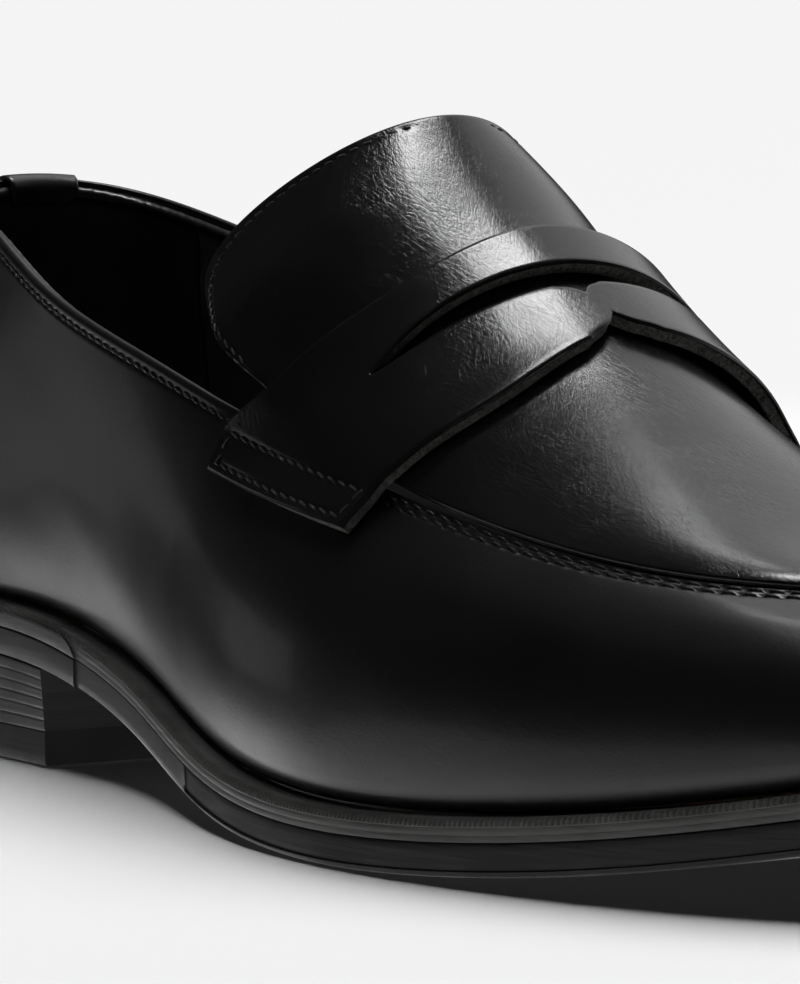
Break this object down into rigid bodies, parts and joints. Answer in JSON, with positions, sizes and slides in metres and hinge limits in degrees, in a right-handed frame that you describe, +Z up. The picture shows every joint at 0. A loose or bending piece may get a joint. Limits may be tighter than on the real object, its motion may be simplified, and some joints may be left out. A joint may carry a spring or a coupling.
{
  "type": "penny loafer shoe",
  "caption": "Slip-on loafer with apron front, raised tongue, slotted saddle strap, welted sole and low stacked heel.",
  "frame": {"origin": "bottom centre of the bounding box: under the middle of the sole, on the ground", "axes": "+X toward the toe, -Y toward the outer (lateral) side of this right shoe, +Z up"},
  "size_m": [0.3021, 0.109, 0.1101],
  "materials": {
    "sole_rubber": "satin moulded",
    "welt_rubber": "satin, wheeled upper edge",
    "heel_stack": "burnished edge, stacked layers",
    "lift_rubber": "matt",
    "cork": "granular",
    "steel": "rolled",
    "brass": "plain",
    "board": "fibre board",
    "foam": "soft cushion",
    "sock_leather": "matt",
    "upper_leather": "polished smooth grain",
    "strap_skin": "polished smooth grain",
    "raw_fibre": "raw cut edge",
    "binding_leather": "folded edge",
    "stiffener": "resin stiffened",
    "lining_leather": "matt smooth",
    "lining_fabric": "woven",
    "thread": "waxed twisted"
  },
  "bodies": {
    "root": {"outsole": "sole_rubber", "forefoot_sole": "sole_rubber", "welt": "welt_rubber", "heel_rand": "welt_rubber", "heel_lift_upper": "heel_stack", "heel_lift_middle": "heel_stack", "heel_lift_lower": "heel_stack", "heel_top_lift": "lift_rubber", "bottom_filler": "cork", "shank": "steel", "shank_rivets": "brass", "insole_board": "board", "heel_pad": "foam", "sock_lining": "sock_leather", "upper_wall": "upper_leather", "apron_tongue": "upper_leather", "strap_leather": "strap_skin", "strap_core": "raw_fibre", "collar_binding": "binding_leather", "back_stay": "upper_leather", "toe_puff": "stiffener", "heel_counter": "stiffener", "quarter_lining_lateral": "lining_leather", "quarter_lining_medial": "lining_leather", "heel_grip": "lining_leather", "vamp_lining": "lining_fabric", "tongue_lining": "lining_leather", "apron_threads": "thread", "collar_threads": "thread", "tongue_threads": "thread", "strap_threads_lateral": "thread", "strap_threads_medial": "thread", "back_stay_threads": "thread"}
  },
  "joints": []
}
